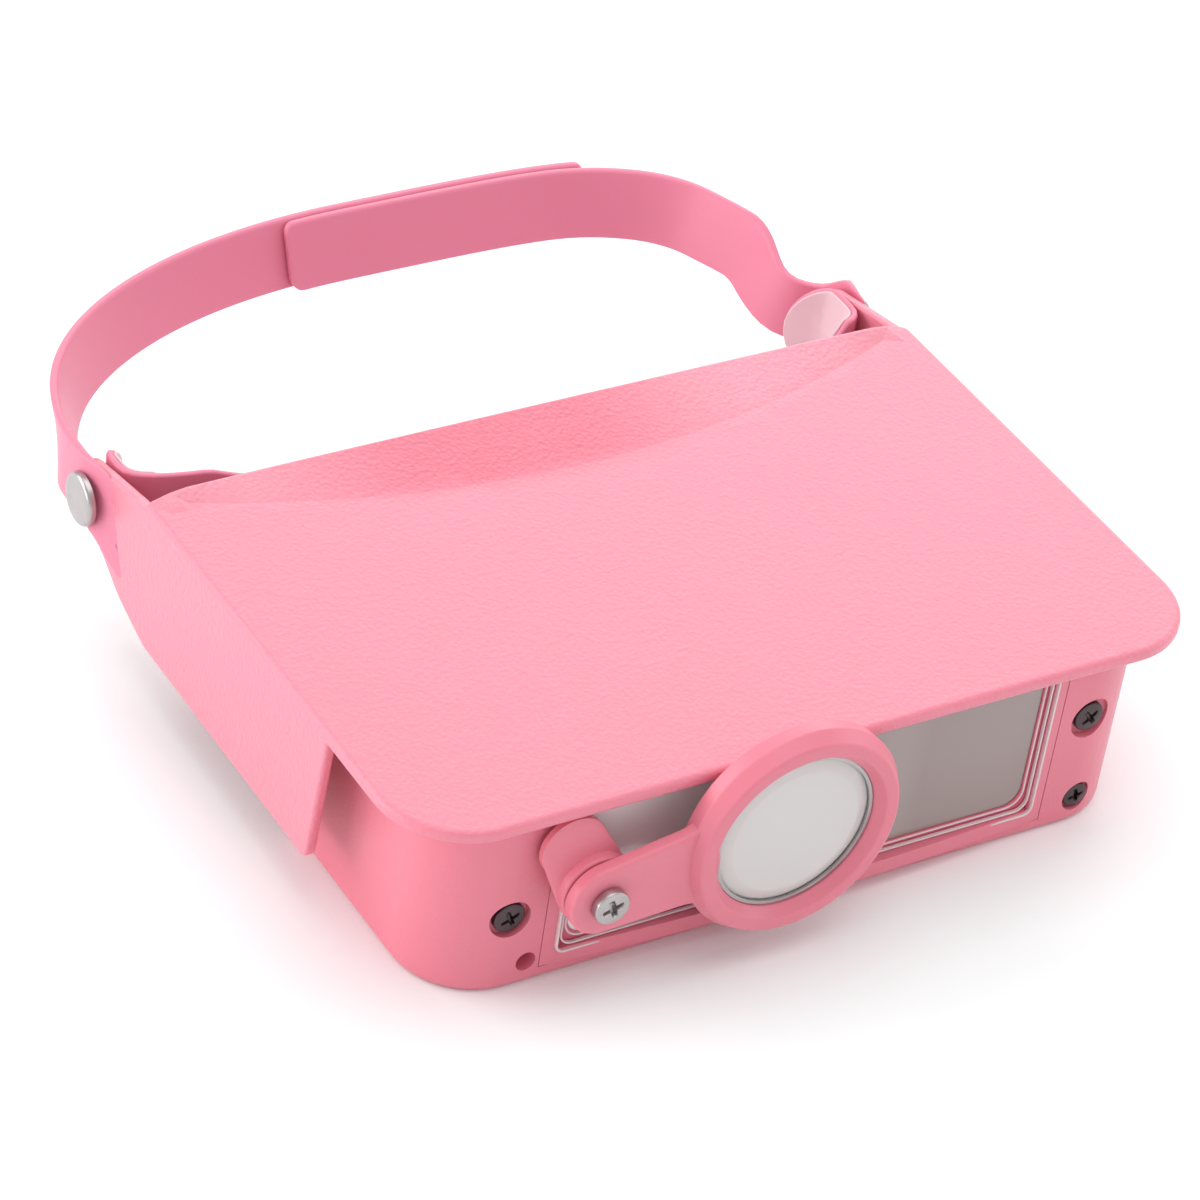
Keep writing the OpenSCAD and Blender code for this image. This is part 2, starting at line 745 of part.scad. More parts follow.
module hinge_washers(x0, x1) {
  in_band() for (s = [-1, 1]) mirror([s < 0 ? 1 : 0, 0, 0]) difference() {
    along_x(0, 0, washer_r, x0, x1);
    along_x(0, 0, shank_r + 0.03, x0 - 1, x1 + 1);
  }
}

module outer_washers() {
  color(nylon) hinge_washers(plate_w / 2 + 0.1, strap_x - strap_t);
}

module inner_washers() {
  color(nylon) hinge_washers(band_x, wall_x - 0.1);
}

hood_shell();
lens_housing();
lens_frame();
front_lens();
lens_retainer();
cheek_screws();
loupe_post();
loupe_insert();
loupe_screw();
loupe_washer();
loupe_frame();
loupe_lens();
loupe_retaining_ring();
loupe_friction_washer();
flip_brackets();
bracket_screws();
flip_frame();
flip_lens();
flip_pins();
left_strap();
right_strap();
hook_pad();
loop_pad();
forehead_band();
forehead_foam();
forehead_lining();
left_rivet();
right_rivet();
rivet_backs();
outer_washers();
inner_washers();
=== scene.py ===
import json
import math

import bmesh
import bpy
import numpy as np
from mathutils import Matrix, Vector, geometry


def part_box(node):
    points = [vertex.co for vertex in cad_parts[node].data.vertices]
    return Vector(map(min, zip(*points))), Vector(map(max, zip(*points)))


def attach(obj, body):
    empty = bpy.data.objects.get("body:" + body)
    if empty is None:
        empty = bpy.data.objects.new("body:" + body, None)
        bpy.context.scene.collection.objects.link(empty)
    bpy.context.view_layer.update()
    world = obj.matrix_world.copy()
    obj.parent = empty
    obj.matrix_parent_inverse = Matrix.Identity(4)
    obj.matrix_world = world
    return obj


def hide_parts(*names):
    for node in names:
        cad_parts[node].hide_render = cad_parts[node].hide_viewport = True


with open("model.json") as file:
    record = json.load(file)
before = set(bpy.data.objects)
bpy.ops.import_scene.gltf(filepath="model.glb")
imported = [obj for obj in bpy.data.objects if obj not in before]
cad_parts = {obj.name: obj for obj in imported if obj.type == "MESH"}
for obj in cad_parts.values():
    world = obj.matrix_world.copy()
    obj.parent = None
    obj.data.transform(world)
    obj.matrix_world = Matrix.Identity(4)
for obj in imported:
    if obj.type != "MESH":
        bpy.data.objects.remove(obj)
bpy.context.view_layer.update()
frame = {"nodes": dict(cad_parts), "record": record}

# All lengths below are millimetres in the visor's own frame: X to the right,
# Y from the front lip to the back, Z up from the table. at() turns them into metres in the row frame.
MM = 0.001
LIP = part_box("hood_shell")[0].y
TAU = 2 * math.pi

PLATE = (100.0, 126.0, 49.7, 3.0)          # half width, depth, top height, thickness
HINGE = (148.5, 35.6)                       # Y and Z of the two side rivets
EAR_X = 102.5                               # plan half width at the straps' ears
LOOP = (102.0, 65.0, 10.0, 15.0)            # half width, depth, straight part, flare length
STRAP = (-6.5, 16.3, 2.0, 5.6)              # lower edge, height, thickness, lean
LAYER, SIDE_SINK = 2.5, 1.0                 # how deep the inner strap lies, and how much more at the side
PIVOT = (-57.5, 28.4)                       # X and Z of the loupe's screw
ARM, ARM_TILT = 45.5, math.radians(6)       # from the screw to the loupe's middle, and the arm's slope
LOUPE = (PIVOT[0] + ARM * math.cos(ARM_TILT), PIVOT[1] + ARM * math.sin(ARM_TILT))


def at(x, y, z):
    """A place in the visor's own frame, in metres."""
    return Vector((x * MM, y * MM + LIP, z * MM))


# ---------------------------------------------------------------- materials

class Nodes:
    """A new material's node tree with short helpers."""

    def __init__(self, name):
        self.mat = bpy.data.materials.new(name)
        self.mat.use_nodes = True
        self.tree = self.mat.node_tree
        self.bsdf = self.tree.nodes["Principled BSDF"]
        self.out = self.tree.nodes["Material Output"]
        self.coord = self.add("ShaderNodeTexCoord").outputs["Object"]

    def add(self, kind, **values):
        n = self.tree.nodes.new(kind)
        for key, value in values.items():
            setattr(n, key, value)
        return n

    def link(self, a, b):
        self.tree.links.new(a, b)

    def put(self, **values):
        for key, value in values.items():
            self.bsdf.inputs[key.replace("_", " ")].default_value = value

    def noise(self, scale, detail=3.0, rough=0.5, stretch=None):
        n = self.add("ShaderNodeTexNoise")
        n.inputs["Scale"].default_value = scale
        n.inputs["Detail"].default_value = detail
        n.inputs["Roughness"].default_value = rough
        self.link(self.mapped(stretch), n.inputs["Vector"])
        return n.outputs["Fac"]

    def mapped(self, stretch):
        if stretch is None:
            return self.coord
        m = self.add("ShaderNodeMapping")
        m.inputs["Scale"].default_value = stretch
        self.link(self.coord, m.inputs["Vector"])
        return m.outputs["Vector"]

    def cells(self, scale):
        n = self.add("ShaderNodeTexVoronoi", feature="SMOOTH_F1")
        n.inputs["Scale"].default_value = scale
        n.inputs["Smoothness"].default_value = 0.6
        self.link(self.coord, n.inputs["Vector"])
        return n.outputs["Distance"]

    def math(self, op, a, b=0.0):
        n = self.add("ShaderNodeMath", operation=op)
        for socket, value in zip(n.inputs, (a, b)):
            if isinstance(value, (int, float)):
                socket.default_value = value
            else:
                self.link(value, socket)
        return n.outputs[0]

    def ramp(self, fac, low, high, a=0.0, b=1.0):
        n = self.add("ShaderNodeMapRange")
        n.inputs["From Min"].default_value = a
        n.inputs["From Max"].default_value = b
        n.inputs["To Min"].default_value = low
        n.inputs["To Max"].default_value = high
        self.link(fac, n.inputs["Value"])
        return n.outputs["Result"]

    def tint(self, fac, a, b):
        n = self.add("ShaderNodeMix", data_type="RGBA")
        n.inputs[6].default_value = (*a, 1)
        n.inputs[7].default_value = (*b, 1)
        self.link(fac, n.inputs[0])
        self.link(n.outputs[2], self.bsdf.inputs["Base Color"])
        return n.outputs[2]

    def bump(self, height, strength, distance, prev=None):
        n = self.add("ShaderNodeBump")
        n.inputs["Distance"].default_value = distance
        self.link(height, n.inputs["Height"])
        if isinstance(strength, (int, float)):
            n.inputs["Strength"].default_value = strength
        else:
            self.link(strength, n.inputs["Strength"])
        if prev is not None:
            self.link(prev, n.inputs["Normal"])
        self.link(n.outputs["Normal"], self.bsdf.inputs["Normal"])
        return n.outputs["Normal"]


def plastic(name, base, grain, rough, cell=900.0, attribute=None, coat=0.18):
    """Moulded plastic: pebble grain, fine noise in colour and gloss, light handling marks.

    Where the named vertex attribute is 1 the grain is at full strength, and painted light goes
    on the colour: a painted highlight where the attribute "middle" is 0, turning to a painted shade
    where it is 1.
    """
    n = Nodes(name)
    cloud = n.noise(22.0, 4.0)
    darker, lighter = [c * 0.985 for c in base], [min(1, c * 1.012) for c in base]
    color = n.tint(n.ramp(cloud, 0.0, 1.0, 0.3, 0.7), darker, lighter)
    pebble = n.cells(cell)
    fine = n.noise(cell * 3.2, 3.0, 0.6)
    height = n.math("ADD", n.math("MULTIPLY", pebble, 0.8), n.math("MULTIPLY", fine, 0.35))
    strength = grain
    if attribute:
        mask = n.add("ShaderNodeAttribute", attribute_name=attribute).outputs["Fac"]
        strength = n.ramp(mask, grain, 1.0)
        # Painted light on the crescent: lighter (painted highlight) at its ends, deeper (painted shade) in
        # its middle
        across = n.add("ShaderNodeMix", data_type="RGBA")
        across.inputs[6].default_value = (1.05, 1.30, 1.24, 1)
        across.inputs[7].default_value = (0.94, 0.73, 0.78, 1)
        n.link(n.add("ShaderNodeAttribute", attribute_name="middle").outputs["Fac"], across.inputs[0])
        shade = n.add("ShaderNodeMix", data_type="RGBA", blend_type="MULTIPLY")
        n.link(mask, shade.inputs[0])
        n.link(across.outputs[2], shade.inputs[7])
        n.link(color, shade.inputs[6])
        n.link(shade.outputs[2], n.bsdf.inputs["Base Color"])
    normal = n.bump(height, strength, 0.0004)
    scuff = n.noise(160.0, 2.0, 0.5, (1.0, 0.12, 1.0))
    wear = n.ramp(scuff, 0.0, 1.0, 0.62, 0.8)
    n.bump(scuff, 0.02, 0.0002, normal)
    roughness = n.math("ADD", n.ramp(cloud, rough - 0.03, rough + 0.04), n.math("MULTIPLY", wear, 0.05))
    n.link(roughness, n.bsdf.inputs["Roughness"])
    n.put(IOR=1.46, Coat_Weight=coat, Coat_Roughness=0.28)
    n.bsdf.inputs["Subsurface Weight"].default_value = 0.08
    n.bsdf.inputs["Subsurface Radius"].default_value = (1.0, 0.35, 0.4)
    n.bsdf.inputs["Subsurface Scale"].default_value = 0.002
    return n.mat


def metal(name, base, rough):
    """Brushed metal with faint spots."""
    n = Nodes(name)
    lines = n.noise(900.0, 3.0, 0.6, (1.0, 1.0, 14.0))
    spots = n.noise(250.0, 2.0)
    n.tint(n.ramp(spots, 0.0, 1.0, 0.35, 0.7), [c * 0.9 for c in base], base)
    n.bump(lines, 0.05, 0.0001)
    worn = n.ramp(n.math("ADD", lines, spots), rough - 0.06, rough + 0.1, 0.6, 1.4)
    n.link(worn, n.bsdf.inputs["Roughness"])
    n.put(Metallic=1.0)
    return n.mat


def clear(name, tint, rough, painted_film_mix, painted_film_color, ior=1.49, ends=None, shine=1.5):
    """Clear plate or lens: glass with faint wipe marks, under a film of painted light: painted shade on the
    window (its dark grey-mauve), a painted reflection on the loupe lens (near white), a painted highlight on
    the rim steps (pale pink).

    ends multiplies the film's colour towards -X, a painted reflection lightening that side.
    """
    n = Nodes(name)
    marks = n.noise(60.0, 3.0, 0.6, (1.0, 1.0, 0.3))
    n.tint(n.ramp(marks, 0.0, 1.0, 0.3, 0.7), tint, [min(1, c * 1.03) for c in tint])
    n.link(n.ramp(marks, rough, rough + 0.03, 0.3, 0.8), n.bsdf.inputs["Roughness"])
    n.bump(marks, 0.01, 0.0001)
    n.put(IOR=ior)
    n.bsdf.inputs["Transmission Weight"].default_value = 1.0
    film = n.add("ShaderNodeBsdfPrincipled")
    film.inputs["Base Color"].default_value = (*painted_film_color, 1)
    film.inputs["Roughness"].default_value = 0.14
    film.inputs["IOR"].default_value = shine
    # Painted reflection: the film's colour grows lighter towards -X
    if ends:
        split = n.add("ShaderNodeSeparateXYZ")
        n.link(n.coord, split.inputs[0])
        far = n.ramp(split.outputs[0], 1.0, 0.0, -0.05, 0.03)
        film_painted_light = n.add("ShaderNodeMix", data_type="RGBA")
        film_painted_light.inputs[6].default_value = (*painted_film_color, 1)
        film_painted_light.inputs[7].default_value = (*[min(1.0, c * e) for c, e in zip(painted_film_color, ends)], 1)
        n.link(far, film_painted_light.inputs[0])
        n.link(film_painted_light.outputs[2], film.inputs["Base Color"])
    mix = n.add("ShaderNodeMixShader")
    mix.inputs[0].default_value = painted_film_mix
    n.link(n.bsdf.outputs[0], mix.inputs[1])
    n.link(film.outputs[0], mix.inputs[2])
    n.link(mix.outputs[0], n.out.inputs["Surface"])
    return n.mat


def soft(name, base, cell, strength, rough):
    """Cloth, foam or soft cover."""
    n = Nodes(name)
    cloud = n.noise(90.0, 3.0)
    n.tint(cloud, [c * 0.95 for c in base], [min(1, c * 1.03) for c in base])
    fine = n.noise(cell, 4.0, 0.7)
    n.bump(n.math("ADD", n.cells(cell * 0.5), fine), strength, 0.0003)
    n.link(n.ramp(fine, rough - 0.05, rough + 0.08), n.bsdf.inputs["Roughness"])
    n.put(Sheen_Weight=0.25, Sheen_Roughness=0.5)
    return n.mat


PINK = (0.80, 0.232, 0.312)
mats = {
    "pink_shell": plastic("pink_shell", PINK, 0.5, 0.36, 900.0, "brow", 0.3),
    "pink_housing": plastic("pink_housing", (0.76, 0.20, 0.272), 0.16, 0.42, 1300.0),
    "pink_strap": plastic("pink_strap", (0.74, 0.205, 0.310), 0.05, 0.45, 1300.0),
    "deep_pink": plastic("deep_pink", (0.62, 0.10, 0.165), 0.05, 0.4, 1300.0),
    # clear: its grey-mauve film is painted shade, the dark inside of the hood seen through the pane; ends
    # lightens it towards -X as a painted reflection
    "clear": clear("clear", (0.93, 0.90, 0.91), 0.03, 0.84, (0.36, 0.28, 0.265),
                   ends=(3.8, 4.1, 4.1), shine=1.9),
    # glass: near-white film as a painted reflection; rim: pale pink film as a painted highlight on the rim
    # steps
    "glass": clear("glass", (0.98, 0.98, 0.99), 0.02, 0.74, (0.84, 0.81, 0.80), 1.52, shine=1.6),
    "rim": clear("rim", (0.98, 0.93, 0.94), 0.08, 0.75, (0.95, 0.78, 0.80), shine=1.6),
    "steel": metal("steel", (0.50, 0.465, 0.465), 0.3),
    "dark_steel": metal("dark_steel", (0.10, 0.075, 0.08), 0.34),
    "nylon": plastic("nylon", (0.80, 0.80, 0.76), 0.05, 0.5, 1500.0),
    "brass": metal("brass", (0.70, 0.50, 0.22), 0.25),
    "foam": soft("foam", (0.70, 0.66, 0.67), 2500.0, 0.4, 0.9),
    "lining": soft("lining", (0.74, 0.49, 0.535), 1600.0, 0.1, 0.6),
    "fastener": soft("fastener", (0.80, 0.30, 0.42), 2600.0, 0.7, 0.9),
}

# ---------------------------------------------------------------- mesh helpers


def finish_mesh(name, bm, body, nodes, slot, sharp=38.0, weighted=True):
    """Turns bm into a piece that rides with the body and stands for the CAD nodes; fills small gaps."""
    gaps = [e for e in bm.edges if len(e.link_faces) < 2]
    if gaps:
        bmesh.ops.holes_fill(bm, edges=gaps, sides=12)
    bmesh.ops.recalc_face_normals(bm, faces=bm.faces)
    mesh = bpy.data.meshes.new(name)
    bm.to_mesh(mesh)
    bm.free()
    mesh.polygons.foreach_set("use_smooth", [True] * len(mesh.polygons))
    mesh.set_sharp_from_angle(angle=math.radians(sharp))
    obj = bpy.data.objects.new(name, mesh)
    bpy.context.collection.objects.link(obj)
    obj.data.materials.append(mats[slot])
    if weighted:
        w = obj.modifiers.new("weighted", "WEIGHTED_NORMAL")
        w.keep_sharp = True
        w.weight = 80
    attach(obj, body)
    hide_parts(*nodes)
    return obj


def body_holding(node):
    for body, members in frame["record"]["behaviour"]["bodies"].items():
        if node in members:
            return body
    raise ValueError(node)


def refined(node, slot, width, segments, big=None, big_width=1.0):
    """The CAD node's own shape with its sharp edges rounded; edges that big() picks get big_width."""
    bm = bmesh.new()
    bm.from_mesh(frame["nodes"][node].data)
    bmesh.ops.remove_doubles(bm, verts=bm.verts, dist=2e-6)
    bmesh.ops.dissolve_limit(bm, angle_limit=math.radians(0.4), verts=bm.verts, edges=bm.edges)
    if big:
        picked = [e for e in bm.edges
                  if all(big(v.co.x / MM, (v.co.y - LIP) / MM, v.co.z / MM) for v in e.verts)]
        bmesh.ops.bevel(bm, geom=picked, offset=big_width * MM, offset_type="OFFSET", segments=6,
                        profile=0.5, affect="EDGES", clamp_overlap=True)
    sharp = math.radians(28.0)
    edges = [e for e in bm.edges if len(e.link_faces) == 2 and e.calc_face_angle(0) > sharp]
    bmesh.ops.bevel(bm, geom=edges, offset=width * MM, offset_type="OFFSET", segments=segments,
                    profile=0.5, affect="EDGES", clamp_overlap=True, miter_outer="ARC")
    return finish_mesh("shown_" + node, bm, body_holding(node), [node], slot, 32.0)


def rounded(corners, seg=8):
    """Closed outline through corners (x, y, radius), anticlockwise."""
    out = []
    n = len(corners)
    for i, (x, y, r) in enumerate(corners):
        p = Vector((x, y))
        a = Vector(corners[i - 1][:2]) - p
        b = Vector(corners[(i + 1) % n][:2]) - p
        half = a.angle(b) / 2
        if r <= 0 or half > 1.56:
            out.append(p)
            continue
        back = min(r / math.tan(half), a.length * 0.49, b.length * 0.49)
        r = back * math.tan(half)
        start, end = p + a.normalized() * back, p + b.normalized() * back
        centre = p + (a.normalized() + b.normalized()).normalized() * (r / math.sin(half))
        v0, v1 = start - centre, end - centre
        turn = v0.angle_signed(v1)
        for k in range(seg + 1):
            t = -turn * k / seg
            out.append(centre + Vector((v0.x * math.cos(t) - v0.y * math.sin(t),
                                        v0.x * math.sin(t) + v0.y * math.cos(t))))
    return out


def circle(x, y, r, n=40, hole=False):
    s = -1 if hole else 1
    return [Vector((x + r * math.cos(s * TAU * k / n), y + r * math.sin(s * TAU * k / n))) for k in range(n)]


def dense(loop, step):
    """The loop with points added so that none are more than step apart."""
    out = []
    for a, b in zip(loop, loop[1:] + loop[:1]):
        n = max(1, math.ceil((b - a).length / step))
        out += [a + (b - a) * (k / n) for k in range(n)]
    return out


def inset(loop, d):
    """The loop's points moved inwards by d, with each corner's move along its bisector."""
    pts = np.array([(p.x, p.y) for p in loop])
    e = np.roll(pts, -1, 0) - pts
    e /= np.maximum(np.linalg.norm(e, axis=1, keepdims=True), 1e-9)
    nrm = np.stack([-e[:, 1], e[:, 0]], 1)
    m = nrm + np.roll(nrm, 1, 0)
    m /= np.maximum((m * m).sum(1, keepdims=True) / 2, 0.3)
    return pts + m * d


def inside(points, loops):
    """Which points are inside the outline and outside its holes."""
    hit = np.zeros(len(points), bool)
    for loop in loops:
        a, b = loop, np.roll(loop, -1, 0)
        for (x0, y0), (x1, y1) in zip(a, b):
            if y0 == y1:
                continue
            crosses = (y0 > points[:, 1]) != (y1 > points[:, 1])
            hit ^= crosses & (points[:, 0] < (x1 - x0) * (points[:, 1] - y0) / (y1 - y0) + x0)
    return hit


def slab(bm, outline, thick, edge, bend, holes=(), step=4.0, extra=(), edge_back=None):
    """Adds to bm a rounded plate with the given outline, mapped by bend(u, w, depth).

    edge and edge_back round its two faces; extra holds lines that the mesh of the faces follows.
    """
    rounds = 4
    edge_back = edge if edge_back is None else edge_back
    loops = [dense(outline, step)] + [dense(list(h), step) for h in holes]
    rings = []
    for k in range(rounds + 1):
        a = math.pi / 2 * k / rounds
        rings.append((edge * (1 - math.sin(a)), edge * (1 - math.cos(a))))
    for k in range(rounds + 1):
        a = math.pi / 2 * k / rounds
        rings.append((edge_back * (1 - math.cos(a)), thick - edge_back * (1 - math.sin(a))))
    all_verts = []
    for loop in loops:
        rows = []
        for off, depth in rings:
            rows.append([bm.verts.new(bend(x, y, depth)) for x, y in inset(loop, off)])
        for r0, r1 in zip(rows, rows[1:]):
            n = len(r0)
            for i in range(n):
                j = (i + 1) % n
                bm.faces.new((r0[i], r0[j], r1[j], r1[i]))
        all_verts.append(rows)
    for side, ring, depth in ((0, 0, 0.0), (1, -1, thick)):
        flat = [inset(loop, rings[ring][0]) for loop in loops]
        verts = [v for rows in all_verts for v in rows[ring]]
        points = np.concatenate(flat)
        edges, first = [], 0
        for f in flat:
            edges += [(first + i, first + (i + 1) % len(f)) for i in range(len(f))]
            first += len(f)
        lo, hi = points.min(0), points.max(0)
        gx = np.arange(lo[0] + step * 0.6, hi[0] - step * 0.3, step)
        gy = np.arange(lo[1] + step * 0.6, hi[1] - step * 0.3, step)
        grid = np.array([(x, y) for x in gx for y in gy]).reshape(-1, 2)
        lines = [np.array(e) for e in extra]
        inner = [grid] if len(grid) else []
        if len(grid):
            rim = np.concatenate([dense_points(f, step * 0.5) for f in flat]
                                 + [dense_points(e, step * 0.5, False) for e in lines])
            gap = np.min(((grid[:, None, :] - rim[None, :, :]) ** 2).sum(2), axis=1)
            inner = [grid[inside(grid, flat) & (gap > (step * 0.45) ** 2)]]
        for e in lines:
            keep = e[inside(e, flat)]
            edges += [(first + i, first + i + 1) for i in range(len(keep) - 1)]
            first += len(keep)
            points = np.concatenate([points, keep])
            verts += [bm.verts.new(bend(x, y, depth)) for x, y in keep]
        for g in inner:
            points = np.concatenate([points, g])
            verts += [bm.verts.new(bend(x, y, depth)) for x, y in g]
        co, _, faces, orig, _, _ = geometry.delaunay_2d_cdt([Vector(p) for p in points], edges, [], 0, 1e-7)
        mids = np.array([np.mean([co[i][:] for i in f], axis=0) for f in faces])
        for f, ok in zip(faces, inside(mids, flat)):
            ids = [orig[i][0] for i in f if orig[i]]
            if ok and len(set(ids)) == 3:
                try:
                    bm.faces.new([verts[i] for i in ids])
                except ValueError:
                    pass


def dense_points(f, step, closed=True):
    """Points along a line or loop, at most step apart."""
    pts = [Vector(p) for p in f]
    pairs = zip(pts, pts[1:] + pts[:1]) if closed else zip(pts, pts[1:])
    out = []
    for a, b in pairs:
        n = max(1, math.ceil((b - a).length / step))
        out += [(a + (b - a) * (k / n))[:] for k in range(n)]
    return np.array(out)


def skin(bm, pairs, n):
    """Faces between neighbouring rings of n vertices, where a ring may be a single point."""
    for a, b in pairs:
        for k in range(n):
            j = (k + 1) % n
            if len(a) == 1 and len(b) == 1:
                continue
            if len(a) == 1:
                bm.faces.new((a[0], b[j], b[k]))
            elif len(b) == 1:
                bm.faces.new((a[k], a[j], b[0]))
            else:
                bm.faces.new((a[k], a[j], b[j], b[k]))


def lathe(bm, profile, centre, axis, n):
    """Closed solid of revolution: profile of (radius, distance along axis)."""
    axis = Vector(axis).normalized()
    side = axis.orthogonal().normalized()
    other = axis.cross(side)
    ring = [side * math.cos(TAU * k / n) + other * math.sin(TAU * k / n) for k in range(n)]
    rows = []
    for r, h in profile:
        base = centre + axis * (h * MM)
        on_axis = r < 1e-6
        rows.append([bm.verts.new(base)] if on_axis else [bm.verts.new(base + q * (r * MM)) for q in ring])
    closed = len(rows[0]) > 1 and len(rows[-1]) > 1
    skin(bm, list(zip(rows, rows[1:])) + ([(rows[-1], rows[0])] if closed else []), n)


def arc_profile(corners, seg=4):
    """Rounds the corners of a profile given as (r, h, radius)."""
    pts = rounded([(r, h, c) for r, h, c in corners], seg)
    return [(p.x, p.y) for p in pts]


def smooth(x):
    """0 below 0, 1 above 1, with an even S between."""
    c = min(max(x, 0.0), 1.0)
    return c * c * (3 - 2 * c)


# ---------------------------------------------------------------- hood

half_w, depth, top_z, thick = PLATE
BROW_RISE, BROW_DEPTH = 2.4, 22.0
CORNER_FADE = 9                             # the crescent dies out over this width at each rear corner
POST_X, POST_HALF = 73, 5.5                 # the two screw posts under the plate
brow_r = (half_w ** 2 + BROW_DEPTH ** 2) / (2 * BROW_DEPTH)


def brow_arc(x):
    """Front edge of the crescent along the plate's rear."""
    return depth - BROW_DEPTH + brow_r - math.sqrt(max(brow_r ** 2 - x * x, 0))


def brow_lift(x, y):
    """Height of the crescent above the plate."""
    edge = min(brow_arc(x), depth - 2.5)
    return BROW_RISE * smooth((half_w - abs(x)) / CORNER_FADE) * max(0.0, y - edge) / (depth - edge)


def plate_bend(x, y, d):
    return at(x, y, top_z - d + brow_lift(x, y) * (1 - d / thick))


def wall_bend(s):
    return lambda y, z, d: at(s * (half_w - 0.02 - d), y, z)


bm = bmesh.new()
plate_line = rounded([(-half_w, depth, 2.2), (-half_w, 0, 20), (half_w, 0, 20), (half_w, depth, 2.2)], 24)
arc_line = [(x, brow_arc(x)) for x in np.linspace(-91, 91, 61)]
slab(bm, plate_line, thick, 1.3, plate_bend, step=4.0, extra=[arc_line], edge_back=0.8)
hy, hz = HINGE
ear = [(hy + 8.2 * math.cos(a), hz + 8.2 * math.sin(a), 0) for a in np.radians(np.linspace(-50, 75, 14))]
wall_line = rounded([(40.1, 48.4, 0), (43.5, 12.8, 3.0), (121, 12.8, 14), (134.5, 17.4, 16)]
                    + ear + [(126, 48.5, 1.0)], 8)
for s in (-1, 1):
    slab(bm, wall_line, 2.58, 0.9, wall_bend(s), holes=[circle(hy, hz, 2.55, 32, True)], step=6.0)
    x0, x1 = s * POST_X - POST_HALF, s * POST_X + POST_HALF
    post = rounded([(x0, 10, 0.6), (x1, 10, 0.6), (x1, 18, 0.6), (x0, 18, 0.6)], 3)
    slab(bm, post, 45, 0.4, lambda x, y, d: at(x, y, 47 - d), step=12.0)
# brow marks the crescent for full grain and painted light; middle puts painted shade in its middle and a
# painted highlight at its ends
layer, middle = bm.verts.layers.float.new("brow"), bm.verts.layers.float.new("middle")
for v in bm.verts:
    x, y = v.co.x / MM, (v.co.y - LIP) / MM
    v[layer] = smooth((y - brow_arc(x)) / 2 + 0.5) if v.co.z / MM > top_z - 1.5 else 0.0
    v[middle] = smooth((72 - abs(x + 16)) / 56)
finish_mesh("hood", bm, "visor", ["hood_shell"], "pink_shell", 2.4)

# ---------------------------------------------------------------- lens housing, frame, lenses


def under_rim(x, y, z):
    """Whether a place is on the housing's lower outer edge."""
    out_x, out_y = max(abs(x) - 72, 0), max(22 - y, 0)
    return z < 0.01 and abs(math.hypot(out_x, out_y) - 18) < 0.15


refined("lens_housing", "pink_housing", 0.5, 3, big=under_rim, big_width=2.2)
refined("lens_frame", "pink_housing", 0.35, 2)

# Front lens: the pane, whose grey-mauve film is painted shade of the hood's inside, and the three steps of
# its moulded rim, which catch the light as bright lines helped by a painted highlight in their pale film


def pane(dx, low, r, top=46.2):
    """Outline of the window: half width, lower edge, radius of its lower corners, upper edge."""
    return rounded([(-dx, top, 0.5), (-dx, low, r), (dx, low, r), (dx, top, 0.5)], 8)


bm = bmesh.new()
slab(bm, pane(61.6, 6.5, 2.0), 2.4, 0.3, lambda x, z, d: at(x, 5.0 + d, z), step=8.0)
finish_mesh("front_lens_shown", bm, "visor", ["front_lens"], "clear", 40)
# Each step: half width, lower edge, corner radius, place along Y, width
steps = ((61.4, 6.7, 2.5, 3.0, 0.6), (60.2, 7.9, 3.5, 3.7, 0.5), (59.0, 9.1, 4.5, 4.4, 0.5))
for k, (dx, low, r, y, w) in enumerate(steps):
    bm = bmesh.new()
    slab(bm, pane(dx, low, r), 0.9, 0.2, lambda x, z, d: at(x, y + d, z),
         holes=[pane(dx - w, low + w, r - 0.5, 46.2 - w)[::-1]], step=8.0)
    finish_mesh(f"lens_rim_{k + 1}", bm, "visor", ["front_lens"], "rim", 40)
bm = bmesh.new()
slab(bm, pane(61.5, 6.6, 2.2), 0.3, 0.1, lambda x, z, d: at(x, 4.7 + d, z),
     holes=[pane(58.2, 9.9, 4.5, 44.5)[::-1]], step=8.0)
finish_mesh("lens_rim_floor", bm, "visor", ["front_lens"], "deep_pink", 40)
refined("lens_retainer", "deep_pink", 0.3, 2)
refined("flip_brackets", "deep_pink", 0.3, 2)
refined("flip_frame", "deep_pink", 0.4, 2)
refined("flip_lens", "clear", 0.25, 2)
refined("flip_pins", "steel", 0.15, 1)
refined("bracket_screws", "steel", 0.3, 2)
refined("loupe_insert", "brass", 0.1, 1)

# ---------------------------------------------------------------- screws


